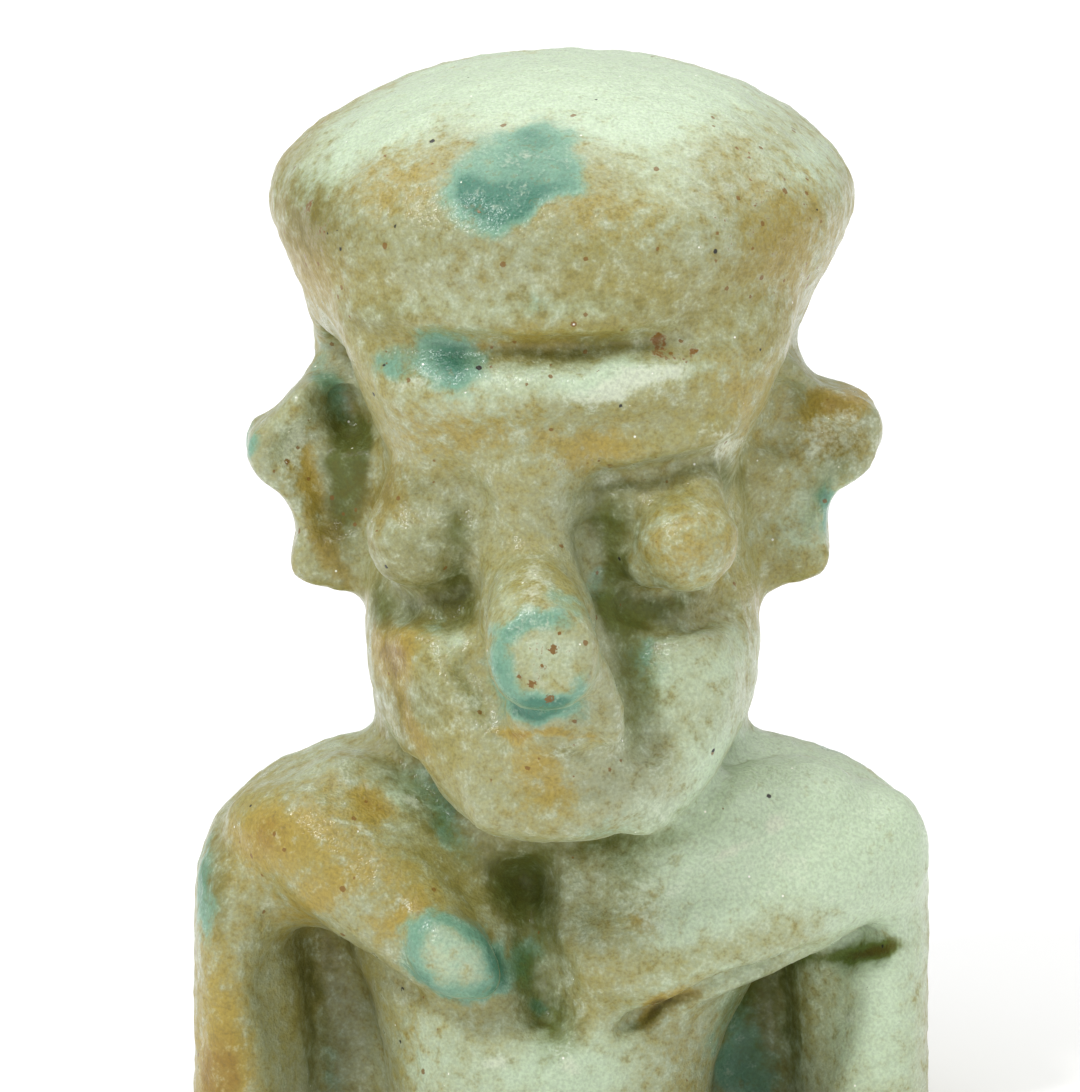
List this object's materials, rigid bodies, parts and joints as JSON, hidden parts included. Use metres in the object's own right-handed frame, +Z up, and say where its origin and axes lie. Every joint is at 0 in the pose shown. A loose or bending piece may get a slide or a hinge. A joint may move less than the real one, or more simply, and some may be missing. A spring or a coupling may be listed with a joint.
{
  "type": "faience amulet",
  "caption": "Small glazed faience amulet of a flat-capped dwarf god, as a bust: head, chest and upper arms, cut flat below, with a hanging loop at the nape.",
  "frame": {"origin": "middle of the bust's extents, on its flat underside", "axes": "+Z up through the head, -Y out of the face, +X to the figure's own left"},
  "size_m": [0.0092, 0.0088, 0.0134],
  "materials": {
    "glazed faience": "worn, waxy pale green glaze with brown staining and turquoise patches"
  },
  "bodies": {
    "root": {"amulet": "glazed faience"}
  },
  "joints": []
}
